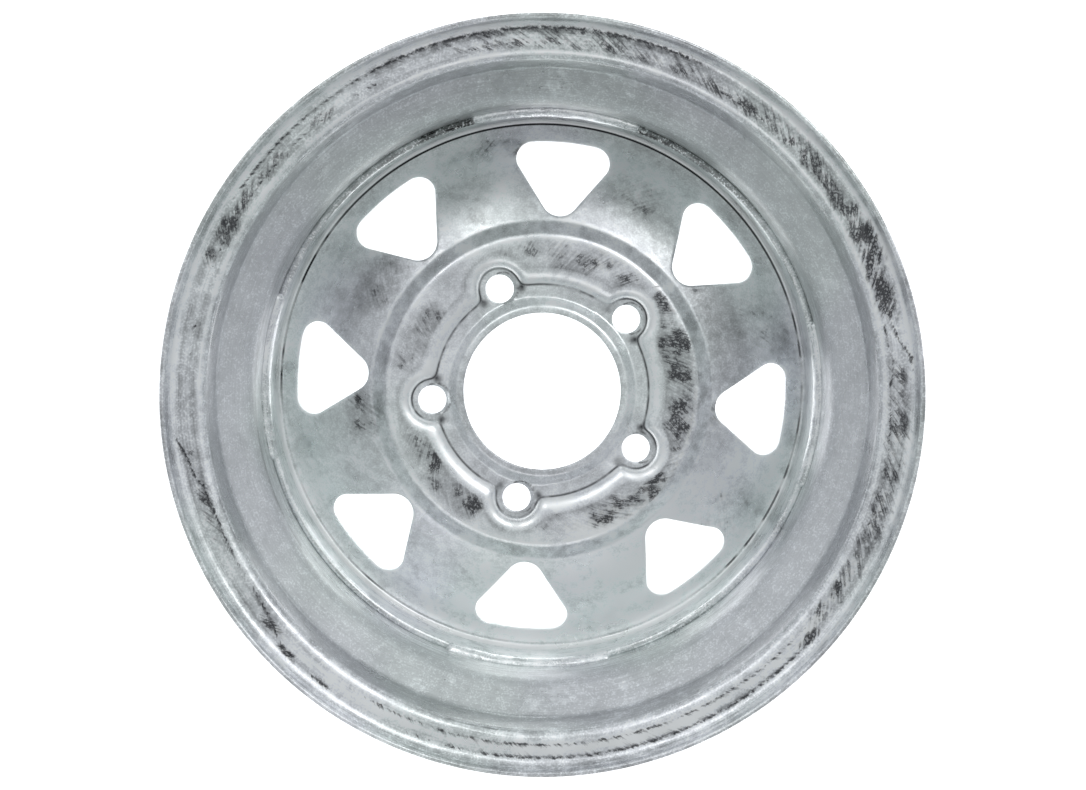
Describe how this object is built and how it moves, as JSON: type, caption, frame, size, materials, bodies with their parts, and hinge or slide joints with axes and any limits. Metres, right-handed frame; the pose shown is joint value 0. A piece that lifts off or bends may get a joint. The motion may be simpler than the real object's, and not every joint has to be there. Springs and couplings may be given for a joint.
{
  "type": "trailer wheel rim",
  "caption": "Galvanised steel drop-centre trailer wheel with a stamped spoke disc, welded in, with stud holes, a turned centre bore and rounded-triangle windows.",
  "frame": {"origin": "middle of the wheel, on its axis and on the hub mounting plane, which is also halfway between the flanges", "axes": "+Z along the wheel axis towards the inboard side, where the hub sits; the wheel lies on its outboard flange"},
  "size_m": [0.364, 0.3638, 0.137],
  "materials": {
    "rim_zinc": "hot-dip galvanised rolled sheet, mottled, with dark rubbed streaks on the flange",
    "disc_zinc": "hot-dip galvanised pressing, cloudy zinc, scuffed dark on the hub ring",
    "weld_zinc": "grainy galvanised weld bead"
  },
  "bodies": {
    "root": {"rim": "rim_zinc", "disc": "disc_zinc", "weld_beads": "weld_zinc"}
  },
  "joints": []
}
